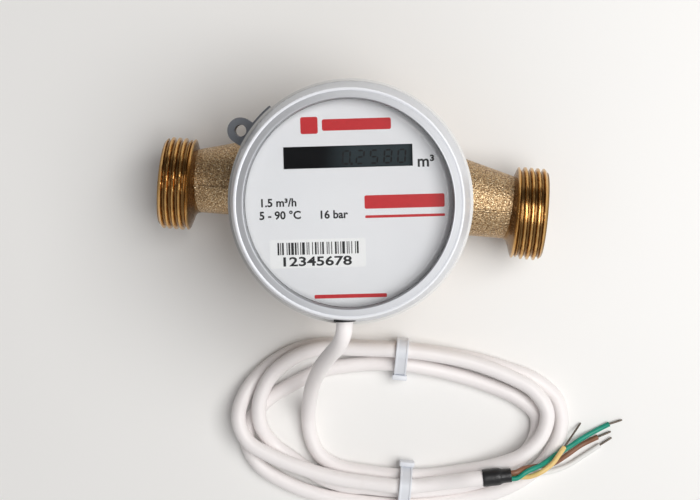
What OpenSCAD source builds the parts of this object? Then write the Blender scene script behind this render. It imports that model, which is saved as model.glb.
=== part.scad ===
// Single-jet water meter with an electronic register and a signal cable.
// Millimetres. The pipe runs along X with the flow towards +X, the register faces up,
// and the meter stands on its foot at z = 0 with the register axis on the Z axis.

/* [Pipe ends] */
// Length of the body over its two end faces
body_len = 110; // [104:1:165]
// Height of the pipe axis above the foot
axis_z = 17; // [16:0.5:22]
// Outside diameter of the end threads
thread_od = 26.44; // [25:0.02:33.25]
// Length of each end thread
thread_len = 6.8; // [6.4:0.1:8]
// Chamfer at the start of the thread
end_chamfer = 1.5; // [0.5:0.1:2]
// Diameter of the plain collar behind the thread
nut_collar_od = 26; // [24:0.2:26.4]
// Length of the plain collar behind the thread
nut_collar_len = 0.4; // [0.3:0.1:1.2]
// Bore of the inlet and outlet ports
port_bore = 17; // [14:0.5:18]
// Depth of the inlet and outlet ports
port_depth = 9; // [8:0.5:9.5]

/* [Casting] */
// Diameter of the neck next to the collar
neck_od = 17.4; // [16.4:0.2:20]
// Sideways shift of the neck towards the jet side
neck_shift = 0.9; // [0:0.1:1.5]
// Flare of the neck on the jet side, in degrees
neck_flare = 15; // [10:0.5:18]
// Height of the parting line ridge on the necks
parting_h = 0.4; // [0.2:0.1:0.8]
// Width of the parting line ridge on the necks
parting_w = 0.7; // [0.4:0.1:1.2]
// Bore of the jet channels
channel_bore = 11; // [8:0.5:11.5]
// Angle of the jet channels to the pipe axis, in degrees
channel_angle = 15; // [12:0.5:17]
// Diameter of the cup
cup_od = 54; // [52:0.5:58]
// Draft of the cup wall from the foot to the collar
cup_draft = 0.8; // [0:0.1:1.5]
// Radius between the foot and the cup wall
foot_round = 7; // [4:0.5:8]
// Diameter of the recess under the foot
foot_recess_d = 28; // [20:1:32]
// Depth of the recess under the foot
foot_recess = 2; // [1:0.1:2.4]
// Diameter of the measuring chamber
chamber_d = 42; // [40:0.5:44]
// Height of the measuring chamber
chamber_h = 19; // [18:0.5:21]
// Diameter of the collar that carries the register
collar_od = 60; // [57:0.2:60.4]
// Height of the collar that carries the register
collar_h = 7; // [6.8:0.1:9]
// Height of the collar above the clamp ring
collar_rise = 1; // [0.5:0.1:2]

/* [Measuring works] */
// Diameter of the pressure plate
plate_d = 48.6; // [47:0.2:50]
// Thickness of the pressure plate
plate_t = 4; // [3.6:0.1:6]
// Section diameter of the plate seal
seal_d = 1.6; // [1.2:0.1:2]
// Inside diameter of the clamp ring
clamp_id = 36; // [34:0.5:40]
// Thickness of the clamp ring
clamp_t = 4; // [3:0.1:5]
// Width of the four spanner slots in the clamp ring
spanner_w = 5; // [3:0.5:7]
// Wall of the magnetic shield ring
shield_t = 1; // [0.6:0.1:1.6]
// Height of the magnetic shield ring
shield_h = 3.4; // [2:0.1:3.8]
// Number of blades on the impeller
blade_count = 7; // [5:1:9]
// Thickness of an impeller blade
blade_t = 1.4; // [1:0.1:2]
// Gap from the blade tips to the chamber wall
blade_gap = 1.8; // [1:0.1:3]
// Diameter of the impeller hub
hub_d = 9; // [8:0.2:11]
// Diameter of the impeller shaft
shaft_d = 2.4; // [1.6:0.1:3]
// Diameter of the pivot in the chamber floor
pivot_d = 3; // [2:0.1:3.6]
// Height of the pivot above the chamber floor
pivot_h = 2.5; // [2:0.1:3.2]
// Diameter of the rotor magnet
magnet_d = 14; // [11:0.5:17]
// Thickness of the rotor magnet
magnet_t = 3; // [2:0.1:3.2]
// Thickness of the strainer
strainer_t = 2; // [1.5:0.1:2.5]
// Width of the strainer slots
strainer_slot = 1.4; // [1:0.1:1.8]

/* [Register] */
// Angle that the register is turned from the pipe axis, in degrees
register_turn = 6.5; // [-60:0.5:60]
// Reading swivel to each side of the pipe axis, in degrees
swivel_range = 90; // [30:5:120]
// Step of the flange outside the cover
flange_step = 0.65; // [0.3:0.05:2]
// Thickness of the flange
flange_t = 3; // [2:0.1:5]
// Wall of the skirt at its lower edge
skirt_wall = 1.7; // [1.5:0.1:2]
// Length of the skirt that grips the collar
skirt_len = 6; // [5.6:0.1:6.4]
// Thickness of the base floor
base_floor = 2.5; // [2:0.1:4]
// Depth of the space under the circuit board
base_depth = 13.1; // [12.6:0.1:20]
// Diameter of the space under the circuit board
cavity_d = 53; // [51:0.1:56]
// Wall of the cover at the flange
cover_wall = 2.8; // [2.4:0.1:3.2]
// Width of the bezel from the face opening to the outside of the crest
bezel_w = 2.75; // [2.6:0.05:3.4]
// Width of the flat land on the crest
crest_land = 0.9; // [0.5:0.1:1.2]
// Drop from the crest to the edge of the face opening
bezel_drop = 2.6; // [1.5:0.1:3]
// Width of the lens flange under the lip of the cover
lens_ledge = 1.3; // [1.1:0.1:2]
// Radius of the rounded lens edge
lens_round = 1.4; // [0.8:0.1:1.6]
// Diameter of the sealing ear
ear_d = 7; // [6:0.2:9]
// Distance of the sealing ear's hole from the edge of the flange
ear_out = 2.15; // [2.1:0.05:4]
// Direction of the sealing ear from the reading direction, in degrees
ear_angle = 145.5; // [120:0.5:170]
// Hole for the sealing wire
ear_hole_d = 3.2; // [2:0.1:3.6]
// Thickness of the sealing ear
ear_t = 5; // [3:0.1:6]

/* [Face and electronics] */
// Thickness of the dial plate
dial_t = 1.4; // [1:0.1:2]
// Distance of the ends of the display window from the edge of the face opening
window_margin = 10.2; // [9.4:0.1:13]
// Height of the display window
window_h = 5.7; // [4:0.1:8]
// Distance of the display window from the register axis
window_y = 12.1; // [10:0.1:13]
// Thickness of the display
display_t = 2.6; // [1.5:0.1:3]
// Thickness of the circuit board
board_t = 1.6; // [1:0.1:2.4]
// Space between the circuit board and the dial plate
dial_space = 6.7; // [6.6:0.1:10]
// Diameter of the battery
battery_d = 24.5; // [20:0.1:24.6]
// Thickness of the battery
battery_t = 7.7; // [4:0.1:8]
// Distance of the board screws from the wall of the space under the board
screw_margin = 4; // [3.7:0.1:5]
// Shank diameter of the board screws
board_screw_d = 2.1; // [1.6:0.1:2.5]

/* [Cable] */
// Diameter of the signal cable
cable_d = 4.4; // [3.6:0.1:4.8]
// Width of the cable slot in the cover
slot_w = 6; // [5.6:0.1:6.2]
// Direction of the cable slot from the reading direction, in degrees
slot_angle = -94; // [-100:0.5:-84]
// Diameter of a lead
wire_d = 1.5; // [1:0.1:1.8]
// Diameter of a bare lead end
core_d = 0.8; // [0.5:0.1:1]
// Large diameter of the shrink sleeve
sleeve_d = 5.2; // [4.8:0.1:6]
// Small diameter of the shrink sleeve
sleeve_tip_d = 3.6; // [3.2:0.1:4.6]
// Width of a cable tie
tie_w = 3.6; // [2.4:0.1:4.8]
// Thickness of a cable tie
tie_t = 0.9; // [0.6:0.1:1]

/* [Hidden] */
$fn = 96;

// Clearances
fit_gap = 0.05;
run_gap = 0.05;
loose_gap = 0.3;
over = 1;

// Heights from the foot upwards
floor_z = axis_z - chamber_h / 2;
seat_z = axis_z + chamber_h / 2;
plate_top = seat_z + plate_t;
clamp_z = plate_top + fit_gap;
collar_top = clamp_z + clamp_t + collar_rise;
collar_z = collar_top - collar_h;
base_z = collar_top + loose_gap;
skirt_z = base_z - skirt_len;
base_top = base_z + base_floor;
board_z = base_top + base_depth;
board_top = board_z + board_t;
flange_z = board_z - flange_t - 2;
flange_top = flange_z + flange_t;
dial_z = board_top + dial_space;
dial_top = dial_z + dial_t;
lens_flange_t = 1.7;
lens_z = dial_top + fit_gap;
gasket_t = 0.8;
gasket_z = lens_z + lens_flange_t + fit_gap;
lip_z = gasket_z + gasket_t + fit_gap;
lip_t = 0.8;
bezel_z = lip_z + lip_t;
crest_z = bezel_z + bezel_drop;
cable_z = board_top + slot_w / 2 + 0.15;

// Sizes of the casting
half_len = body_len / 2;
thread_r = thread_od / 2;
port_r = port_bore / 2;
channel_r = channel_bore / 2;
neck_tilt = neck_flare / 2;
spigot_len = thread_len + nut_collar_len;
collar_cone = 0.9;
neck_fillet = 1.6;
seat_step = 1.1;
port_seat = strainer_t + fit_gap;
neck_x = half_len - spigot_len - 0.5;
neck_root_x = 20;
neck_len = (neck_x - neck_root_x) / cos(neck_tilt);
cup_r = cup_od / 2;
collar_r = collar_od / 2;
seat_r = plate_d / 2 + 0.2;
bead_h = 0.8;
bead_z = skirt_z + 3.6;
skirt_r = collar_r + loose_gap;
lug_h = 1.4;
lug_half = 5.5;

// Sizes of the works
blade_r = chamber_d / 2 - blade_gap;
pivot_top = floor_z + pivot_h;
hub_z = floor_z + 1.1;
jewel_r = pivot_d / 2 + 1.1;
jewel_t = pivot_top - hub_z + 1.5;
magnet_z = seat_z - magnet_t - 2;
bush_r = shaft_d / 2 + 1.8;
bush_t = 2.5;
groove_t = seal_d + 0.1;

// Sizes of the register
recess_r = cavity_d / 2 + 1.6;
spigot_r = recess_r + 1.2;
spigot_top = board_top + 0.05;
cover_z = flange_top + fit_gap;
cover_r = spigot_r + 0.1;
pocket_r = recess_r + 0.2;
pocket_z = dial_z - 2;
rim_r = recess_r - 0.1;
carrier_r = cavity_d / 2 - 0.2;
lens_r = recess_r - lens_ledge;
lens_gap = 0.2;
face_r = lens_r + lens_gap;
crest_r = face_r + bezel_w;
cover_edge_r = cover_r + cover_wall;
flange_r = cover_edge_r + flange_step;
ear_r = flange_r + ear_out;
skirt_edge_r = skirt_r + skirt_wall;
window_w = 2 * (face_r - window_margin);
board_screw_r = cavity_d / 2 - screw_margin;
slot_top = cable_z + slot_w / 2 + 0.7;
post_angles = [-35, 3, 177, 215];
battery_side = 1.75;
battery_y = cavity_d / 2 - battery_side - battery_d / 2;
battery_z = board_z - fit_gap - battery_t;
clip_t = 0.5;
clip_w = 6;
sensor_y = -5;
sensor_board_w = 10;
sensor_board_t = 1.2;
sensor_w = 4;
sensor_t = 1.5;
sensor_h = 3.2;
sensor_pitch = 5.2;
board_screw_len = 7;
display_w = window_w + 4.4;
display_h = window_h + 3.9;
display_z = dial_z - fit_gap - display_t;
frame_wall = 1.4;
frame_r = rim_r - 0.4;
connector_w = 9;
connector_len = 7;
connector_gap = 2.1;
cable_in_r = carrier_r - connector_gap;

// The cable from the connector over the slot down to the floor
cable_drop = [[1.1, -24.2, 56.2], [1.4, -31.4, 56.2], [1.3, -35, 55.3], [0.2, -38.4, 52],
    [-1.8, -41.8, 46.2], [-3.8, -45.4, 38.6], [-5.6, -50, 28], [-7.2, -55.6, 17.4],
    [-8, -61.6, 8.6], [-8, -67.4, 3.6]];
// First turn: along the floor to the right, back over the top and round the inner left
first_turn = [[-6.9, -72.8, 2.3], [-4, -77.8, 2.3], [2, -81, 2.3], [12, -82, 2.6],
    [22.5, -82, 3.5], [31, -81, 2.7], [40, -78.8, 3.4], [48, -76.2, 5.2], [56.2, -72, 6.7],
    [61.4, -65.8, 6.7], [62.4, -58.4, 6.7], [57.8, -52.3, 6.7], [50, -48.7, 6.7], [40, -45.8, 6.8],
    [30, -44.4, 7.2], [18, -43.8, 7.9], [6, -44.5, 6.9], [-6.5, -45.4, 6.7], [-13.6, -48.7, 6.7],
    [-20, -54.8, 6.8], [-22.8, -62.4, 6.8], [-22.2, -69.4, 6.2], [-18.4, -75.6, 2.6],
    [-10.5, -80.6, 2.3]];
// Second turn: along the bottom, inside the right end, along the lower top and outside the left
second_turn = [[-3, -84.8, 2.3], [4, -86.6, 2.3], [12, -86.6, 2.6], [22.5, -86.4, 3.5],
    [31, -85.4, 2.7], [40, -83.4, 2.3], [48, -80.2, 2.3], [55.6, -74.4, 2.3], [60, -67.4, 2.3],
    [60, -60.6, 2.3], [54.4, -55.9, 2.3], [43, -52.1, 2.3], [30.5, -49.6, 2.7], [18, -48.4, 3.5],
    [6, -49.7, 2.4], [-5, -52.4, 2.3], [-13, -57, 2.3], [-20.4, -62.4, 2.3], [-25, -68.8, 2.3],
    [-25.9, -76, 2.3], [-21.6, -82.8, 2.3], [-13, -87.4, 2.3]];
// Third turn: outermost at the right, under the top strand, over the left and on to the sleeve
third_turn = [[-3, -90.2, 2.3], [4, -91, 2.3], [12, -91.2, 2.6], [22.5, -90.8, 3.5],
    [31, -89.8, 2.7], [40, -87.8, 2.3], [49, -84.8, 2.3], [57.6, -79.8, 2.3], [64.6, -72.2, 2.3],
    [67.4, -63.2, 2.3], [65.4, -55, 2.3], [58.6, -49.8, 2.3], [50, -47.2, 2.3], [40, -45.2, 2.3],
    [30, -44.2, 2.7], [18, -43.8, 3.5], [6, -44.4, 2.5], [-6.5, -45, 2.3], [-15, -48, 2.3],
    [-22.6, -54, 2.4], [-27.6, -61.4, 4.4], [-28.7, -68.6, 6.8], [-25.4, -75, 6.9],
    [-18.5, -78.6, 6.9], [-9.5, -81.4, 6.9], [1, -83.6, 6.8], [12, -84.3, 6.9], [22.5, -84.2, 7.5],
    [33, -82.2, 7.8], [41.2, -80, 9.6], [45.2, -79.2, 9.6]];
cable_route = concat(cable_drop, first_turn, second_turn, third_turn);
drop_end = len(cable_drop) - 1;

// The sleeve, and the leads that come out of its end side by side
sleeve_from = [45.2, -79.2, 9.6];
sleeve_to = [53.2, -77.6, 9.6];
sleeve_step = 0.6;
lead_gap = 0.9;
brown_route = concat(lead_root(1, 1), [[56.6, -75.4, 9.4], [59.4, -74.9, 7.8], [65.4, -74.1, 5],
    [69.6, -71.7, 2.6], [74.3, -68.2, 0.9], [78.9, -65.4, 0.9]]);
green_route = concat(lead_root(-1, 1), [[57.7, -76, 10.2], [61.8, -74.1, 8.4], [66.2, -71.3, 5.3],
    [70.4, -68.5, 3.8], [74.8, -65.6, 1.8], [79.3, -62.8, 0.9], [81.9, -61.2, 0.9]]);
yellow_route = concat(lead_root(-1, -1), [[58.9, -77.6, 9], [61.9, -76, 9.4], [64, -74.4, 8.8],
    [65.5, -72.8, 8.6], [66.8, -70.8, 7.9], [68.5, -68.8, 5.4]]);
white_route = concat(lead_root(1, -1), [[57.6, -76.8, 7.2], [61.8, -77, 5.4], [66.4, -76.4, 2.8],
    [70.7, -74.8, 1.2], [74.7, -71.8, 0.9], [79.7, -67.8, 0.9]]);
core_ends = [[82.6, -63.4, 0.9], [85.6, -59.6, 0.9], [73.4, -61.7, 0.6], [83, -65.2, 0.9]];

// Where the two ties hold the strands: place along X and the strands' centres across it
upper_tie_x = 18;
upper_strands = [[-43.8, 3.5], [-43.8, 7.9], [-48.4, 3.5]];
lower_tie_x = 22.5;
lower_strands = [[-82, 3.5], [-90.8, 3.5], [-84.2, 7.5]];
tie_gap = 0.35;

// Direction of the route at point i, and the ring of points round it there
function unit(v) = v / norm(v);
function heading(p, i) = unit(p[min(i + 1, len(p) - 1)] - p[max(i - 1, 0)]);
function ring(p, i, r, n) =
    let (t = heading(p, i), side = unit(cross([0, 0, 1], t)), up = cross(t, side))
    [for (k = [0 : n - 1]) p[i] + r * (cos(360 * (k + 0.5) / n) * side + sin(360 * (k + 0.5) / n) * up)];

// First two points of a lead, straight out of one quarter of the sleeve's end face
function lead_root(side, up) =
    let (axis = unit(sleeve_to - sleeve_from),
        at = sleeve_to + fit_gap * axis + lead_gap * (side * cross([0, 0, 1], axis) + [0, 0, up]))
    [at, at + 1.6 * axis];

// Round tube along the points first to last of a route
module tube(p, first, last, d, n = 8) {
    count = last - first + 1;
    polyhedron(
        points = [for (i = [first : last]) each ring(p, i, d / 2, n)],
        faces = concat(
            [[for (k = [0 : n - 1]) k]],
            [for (i = [0 : count - 2], k = [0 : n - 1])
                [i * n + k, (i + 1) * n + k, (i + 1) * n + (k + 1) % n, i * n + (k + 1) % n]],
            [[for (k = [0 : n - 1]) count * n - 1 - k]]),
        convexity = 10);
}

// Round bar between two points
module bar(a, b, d) {
    v = b - a;
    translate(a)
        rotate([0, acos(v[2] / norm(v)), atan2(v[1], v[0])])
            cylinder(h = norm(v), d = d);
}

// Places the register's pieces as it is turned on the collar
module on_register() {
    rotate([0, 0, register_turn])
        children();
}

// Both pipe ends from the inlet's
module both_ends() {
    children();
    mirror([1, 0, 0])
        children();
}

// Shape about the pipe axis, its z = 0 at the inlet face and its +Z along the flow
module at_inlet() {
    translate([-half_len, 0, axis_z])
        rotate([0, 90, 0])
            children();
}

// Turned spigot: chamfered thread, plain collar, its conical back and the fillet to the neck
module spigot() {
    arc_r = neck_od / 2 + neck_fillet;
    arc_x = spigot_len + collar_cone + neck_fillet;
    at_inlet()
        rotate_extrude()
            polygon(concat(
                [[0, 0], [thread_r - end_chamfer, 0], [thread_r, end_chamfer], [thread_r, thread_len],
                    [nut_collar_od / 2, thread_len], [nut_collar_od / 2, spigot_len]],
                [for (a = [0 : 15 : 90]) [arc_r - neck_fillet * sin(a), arc_x - neck_fillet * cos(a)]],
                [[0, arc_x]]));
}

// Cast neck, flat on one side and flared on the jet side
module neck() {
    translate([-neck_x, neck_shift, axis_z])
        rotate([0, 0, neck_tilt])
            rotate([0, 90, 0])
                cylinder(h = neck_len, r1 = neck_od / 2,
                    r2 = neck_od / 2 + neck_len * tan(neck_tilt));
}

// Height of the neck's top over the pipe axis, at a distance along it from its start
function neck_top(along) =
    sqrt(pow(neck_od / 2 + along * tan(neck_tilt), 2) - pow(neck_shift + along * tan(neck_tilt), 2));

// Ridge left by the mould's parting line along the top of the neck
module neck_ridge() {
    end = neck_x - cup_r + 3;
    translate([-neck_x, 0, axis_z])
        rotate([90, 0, 0])
            translate([0, 0, -parting_w / 2])
                linear_extrude(height = parting_w)
                    polygon([[0, neck_top(0) - 2], [end, neck_top(end) - 2],
                        [end, neck_top(end) + parting_h], [0, neck_top(0) + parting_h]]);
}

// Port, the smaller seat at its bottom and the jet channel of the inlet
module waterway() {
    at_inlet()
        translate([0, 0, -over]) {
            cylinder(h = port_depth - port_seat + over, r = port_r);
            cylinder(h = port_depth + over, r = port_r - seat_step);
        }
    translate([port_depth - half_len - over, 0, axis_z])
        rotate([0, 0, channel_angle])
            rotate([0, 90, 0])
                cylinder(h = half_len - port_depth - 8, r = channel_r);
}

// Section of the cup with its rounded foot and the collar for the register
module cup_section() {
    foot_r = cup_r - cup_draft;
    polygon([[0, foot_round], [foot_r, foot_round], [cup_r, collar_z - collar_r + cup_r],
        [collar_r, collar_z], [collar_r, collar_top], [0, collar_top]]);
    square([foot_r - foot_round, foot_round + over]);
    translate([foot_r - foot_round, foot_round])
        circle(r = foot_round);
}

// Section of the hollow: hole of the pivot, measuring chamber and seat of the plate
module hollow_section() {
    hole_r = pivot_d / 2 + fit_gap;
    polygon([[0, floor_z - pivot_h], [hole_r, floor_z - pivot_h], [hole_r, floor_z],
        [chamber_d / 2, floor_z], [chamber_d / 2, seat_z], [seat_r, seat_z],
        [seat_r, collar_top + over], [0, collar_top + over]]);
}

// Brass casting: cup, necks, threaded ends, waterways and measuring chamber
module meter_body() {
    color([0.66, 0.5, 0.28])
        difference() {
            union() {
                rotate_extrude()
                    intersection() {
                        cup_section();
                        square([collar_r, collar_top]);
                    }
                both_ends() {
                    spigot();
                    neck();
                    neck_ridge();
                }
                // lug that stops the register's swivel
                rotate([0, 0, 90 - lug_half])
                    rotate_extrude(angle = 2 * lug_half)
                        translate([collar_r - over, skirt_z - 1])
                            square([over + loose_gap + 1.2, 1 + lug_h]);
            }
            both_ends()
                waterway();
            rotate_extrude()
                hollow_section();
            translate([0, 0, -over])
                cylinder(h = foot_recess + over, d = foot_recess_d);
            // groove that the register's bead snaps into
            rotate_extrude()
                translate([skirt_r - bead_h - 0.4, bead_z - 1.3])
                    square([bead_h + over, 2.6]);
        }
}

// Slotted plastic strainer in the seat of the inlet port
module inlet_strainer() {
    pitch = strainer_slot * 2;
    strainer_r = port_r - seat_step - fit_gap;
    rim = strainer_r - 1.2;
    color([0.85, 0.85, 0.8])
        at_inlet()
            translate([0, 0, port_depth - port_seat])
                linear_extrude(height = strainer_t)
                    difference() {
                        circle(r = strainer_r);
                        intersection() {
                            circle(r = rim);
                            for (i = [-3 : 3])
                                translate([i * pitch - strainer_slot / 2, -rim])
                                    square([strainer_slot, 2 * rim]);
                        }
                    }
}

// Hard steel pivot in the chamber floor
module lower_pivot() {
    color([0.75, 0.75, 0.78])
        translate([0, 0, floor_z - pivot_h + fit_gap])
            cylinder(h = 2 * pivot_h - fit_gap, d = pivot_d);
}

// Plate that closes the wet chamber, with the seal groove and the bearing pocket below
module pressure_plate() {
    color([0.25, 0.25, 0.27])
        difference() {
            translate([0, 0, seat_z])
                cylinder(h = plate_t, d = plate_d);
            translate([0, 0, seat_z - over])
                difference() {
                    cylinder(h = groove_t + over, d = plate_d + over);
                    cylinder(h = groove_t + over, r = plate_d / 2 - seal_d - 0.4);
                }
            translate([0, 0, seat_z - over])
                cylinder(h = bush_t + over + fit_gap, r = bush_r + fit_gap);
        }
}

// O-ring in the groove of the pressure plate
module plate_seal() {
    color([0.1, 0.1, 0.1])
        translate([0, 0, seat_z + groove_t / 2])
            rotate_extrude()
                translate([plate_d / 2 - seal_d / 2 - 0.15, 0])
                    circle(d = seal_d);
}

// Bearing bush of the impeller shaft
module upper_bearing() {
    color([0.85, 0.75, 0.5])
        translate([0, 0, seat_z])
            difference() {
                cylinder(h = bush_t, r = bush_r);
                translate([0, 0, -over])
                    cylinder(h = bush_t + 2 * over, d = shaft_d + 2 * run_gap);
            }
}

// Threaded brass ring that clamps the plate, with four spanner slots
module clamp_ring() {
    color([0.75, 0.58, 0.3])
        translate([0, 0, clamp_z])
            difference() {
                cylinder(h = clamp_t, r = seat_r - fit_gap);
                translate([0, 0, -over])
                    cylinder(h = clamp_t + 2 * over, d = clamp_id);
                for (a = [0 : 90 : 270])
                    rotate([0, 0, a + 45])
                        translate([clamp_id / 2 - over, -spanner_w / 2, clamp_t / 2])
                            cube([over + 2.5, spanner_w, clamp_t]);
            }
}

// Steel ring that keeps outside magnets from the rotor
module shield_ring() {
    color([0.6, 0.6, 0.62])
        translate([0, 0, clamp_z])
            difference() {
                cylinder(h = shield_h, d = clamp_id - 2 * fit_gap);
                translate([0, 0, -over])
                    cylinder(h = shield_h + 2 * over, d = clamp_id - 2 * fit_gap - 2 * shield_t);
            }
}

// One blade, standing on the XZ plane
module blade() {
    root = hub_d / 2 - 0.6;
    low = hub_z + 1.6;
    high = magnet_z - 1;
    rotate([90, 0, 0])
        translate([0, 0, -blade_t / 2])
            linear_extrude(height = blade_t)
                polygon([[root, low], [blade_r - 2, low + 0.6], [blade_r, low + 2.6],
                    [blade_r, high - 1.5], [blade_r - 1.5, high], [root, high]]);
}

// Moulded impeller: hub, radial blades and the cup for the magnet
module impeller() {
    cup_wall = 1.2;
    color([0.2, 0.35, 0.6])
        difference() {
            union() {
                translate([0, 0, hub_z])
                    cylinder(h = magnet_z - hub_z, d = hub_d);
                for (i = [0 : blade_count - 1])
                    rotate([0, 0, 360 * i / blade_count])
                        blade();
                translate([0, 0, magnet_z - 1.5])
                    cylinder(h = 1.5 + magnet_t * 0.6, r = magnet_d / 2 + fit_gap + cup_wall);
            }
            translate([0, 0, magnet_z])
                cylinder(h = magnet_t + over, r = magnet_d / 2 + fit_gap);
            translate([0, 0, hub_z - over])
                cylinder(h = jewel_t + over, r = jewel_r + fit_gap);
            translate([0, 0, hub_z + jewel_t + 1])
                cylinder(h = chamber_h, d = shaft_d + 2 * fit_gap);
        }
}

// Steel shaft from the hub into the upper bearing
module impeller_shaft() {
    from = hub_z + jewel_t + 1 + fit_gap;
    color([0.78, 0.78, 0.8])
        translate([0, 0, from])
            cylinder(h = seat_z + bush_t - 0.4 - from, d = shaft_d);
}

// Jewel cup that rides on the pivot
module jewel_bearing() {
    color([0.7, 0.15, 0.25])
        translate([0, 0, hub_z])
            difference() {
                cylinder(h = jewel_t - fit_gap, r = jewel_r);
                translate([0, 0, -over])
                    cylinder(h = over + pivot_top + run_gap - hub_z, d = pivot_d + 2 * run_gap);
            }
}

// Ring magnet in the cup on top of the impeller
module rotor_magnet() {
    color([0.2, 0.2, 0.22])
        translate([0, 0, magnet_z + fit_gap])
            difference() {
                cylinder(h = magnet_t - fit_gap, d = magnet_d);
                translate([0, 0, -over])
                    cylinder(h = magnet_t + 2 * over, d = shaft_d + 2 * fit_gap);
            }
}

// Arch of the cable slot from radius r0 to r1, open downwards to z0
module cable_slot(r0, r1, z0, top) {
    rotate([0, 0, slot_angle]) {
        translate([r0, 0, top - slot_w / 2])
            rotate([0, 90, 0])
                cylinder(h = r1 - r0, d = slot_w);
        translate([r0, -slot_w / 2, z0])
            cube([r1 - r0, slot_w, top - slot_w / 2 - z0]);
    }
}

// Ear for the sealing wire, with its web to the flange
module ear() {
    rotate([0, 0, ear_angle])
        translate([0, 0, flange_top - ear_t]) {
            translate([ear_r, 0, 0])
                cylinder(h = ear_t, d = ear_d);
            translate([flange_r - 1.6, -ear_d / 2, 0])
                cube([ear_r - flange_r + 1.6, ear_d, ear_t]);
        }
}

// Section of the base: skirt with its snap bead, floor, wall, flange and the cover's spigot
module base_section() {
    polygon([[0, base_z], [skirt_r, base_z], [skirt_r, bead_z + 0.9],
        [skirt_r - bead_h, bead_z + 0.4], [skirt_r - bead_h, bead_z - 0.4],
        [skirt_r, bead_z - 0.9], [skirt_r, skirt_z], [skirt_edge_r, skirt_z],
        [skirt_edge_r - 0.4, flange_z - 1], [flange_r, flange_z], [flange_r, flange_top],
        [spigot_r, flange_top], [spigot_r, spigot_top], [recess_r, spigot_top],
        [recess_r, board_z], [cavity_d / 2, board_z], [cavity_d / 2, base_top], [0, base_top]]);
}

// Moulded base of the register with the sealing ear
module register_base() {
    notch_half = swivel_range + lug_half + 0.5;
    color([0.5, 0.51, 0.54])
        on_register()
            difference() {
                union() {
                    rotate_extrude()
                        base_section();
                    ear();
                    // raised rim beside the ear
                    rotate([0, 0, ear_angle - 17])
                        rotate_extrude(angle = 17)
                            translate([flange_r - over, flange_z + 0.6])
                                square([over + 0.7, flange_t - 0.6]);
                    for (a = post_angles)
                        rotate([0, 0, a])
                            translate([board_screw_r, 0, base_top - over])
                                cylinder(h = base_depth + over, r = board_screw_d / 2 + 1.6);
                }
                rotate([0, 0, ear_angle])
                    translate([ear_r, 0, flange_top - ear_t - over])
                        cylinder(h = ear_t + 2 * over, d = ear_hole_d);
                // room for the stop lug of the collar
                rotate([0, 0, 90 - notch_half])
                    rotate_extrude(angle = 2 * notch_half)
                        translate([skirt_r - over, skirt_z - over])
                            square([over + 2 * skirt_wall, over + lug_h + 0.5]);
                for (a = post_angles)
                    rotate([0, 0, a])
                        translate([board_screw_r, 0, board_z - board_screw_len - over])
                            cylinder(h = board_screw_len + 2 * over, d = board_screw_d + 2 * fit_gap);
            }
}

// Section of the cover: tapered wall, crest, bezel slope and the lens pocket
module cover_section() {
    edge = 0.4;
    polygon([[cover_r, cover_z], [cover_edge_r, cover_z], [crest_r, crest_z - edge],
        [crest_r - edge, crest_z], [crest_r - crest_land, crest_z],
        [crest_r - crest_land - 0.7, crest_z - 0.3], [face_r, bezel_z], [face_r, lip_z],
        [pocket_r, lip_z], [pocket_r, pocket_z], [cover_r, pocket_z - 1.5]]);
}

// Moulded cover ring with the bezel round the face and the cable slot
module register_cover() {
    color([0.7, 0.71, 0.74])
        on_register()
            difference() {
                rotate_extrude()
                    cover_section();
                cable_slot(cover_r - 2, cover_edge_r + over, cover_z - over, slot_top);
                // index notch in the bezel
                rotate([0, 0, 189])
                    translate([face_r - over, -0.8, bezel_z - 0.5])
                        cube([over + 0.5, 1.6, 1.2]);
            }
}

// Clear cover with a rounded edge and the flange that the cover holds
module cover_lens() {
    top = bezel_z + 0.5;
    color([0.85, 0.92, 0.95, 0.4])
        on_register()
            rotate_extrude() {
                translate([0, lens_z])
                    square([rim_r, lens_flange_t]);
                translate([0, lens_z])
                    square([lens_r, top - lens_round - lens_z]);
                translate([0, lens_z])
                    square([lens_r - lens_round, top - lens_z]);
                translate([lens_r - lens_round, top - lens_round])
                    circle(r = lens_round);
            }
}

// Flat gasket between lens and cover
module lens_gasket() {
    color([0.12, 0.12, 0.12])
        on_register()
            translate([0, 0, gasket_z])
                difference() {
                    cylinder(h = gasket_t, r = rim_r);
                    translate([0, 0, -over])
                        cylinder(h = gasket_t + 2 * over, r = lens_r + 0.15);
                }
}

// White face plate with the display window
module dial_plate() {
    color([0.95, 0.95, 0.97])
        on_register()
            translate([0, 0, dial_z])
                difference() {
                    cylinder(h = dial_t, r = rim_r);
                    translate([-window_w / 2, window_y - window_h / 2, -over])
                        cube([window_w, window_h, dial_t + 2 * over]);
                }
}

// Ring that carries the dial plate on the circuit board
module dial_carrier() {
    color([0.9, 0.9, 0.9])
        on_register()
            difference() {
                translate([0, 0, board_top + fit_gap])
                    difference() {
                        cylinder(h = dial_space - 2 * fit_gap, r = rim_r);
                        translate([0, 0, -over])
                            cylinder(h = dial_space + 2 * over, r = carrier_r);
                    }
                cable_slot(carrier_r - 2, rim_r + over, board_top - over, slot_top + over);
                frame_space(board_top - over, dial_space + 2 * over, fit_gap);
            }
}

// Block centred on a point of the register's XY plane
module block(x, y, z, w, d, h) {
    translate([x - w / 2, y - d / 2, z])
        cube([w, d, h]);
}

// Liquid crystal display under the window
module display_module() {
    color([0.07, 0.08, 0.1])
        on_register()
            block(0, window_y, display_z, display_w, display_h, display_t);
}

// Space of the display's frame, let into the ring that carries the dial plate
module frame_space(z, height, gap) {
    intersection() {
        block(0, window_y, z, display_w + 2 * frame_wall + 2 * gap,
            display_h + 2 * frame_wall + 2 * gap, height);
        translate([0, 0, z])
            cylinder(h = height, r = frame_r + gap);
    }
}

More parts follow.
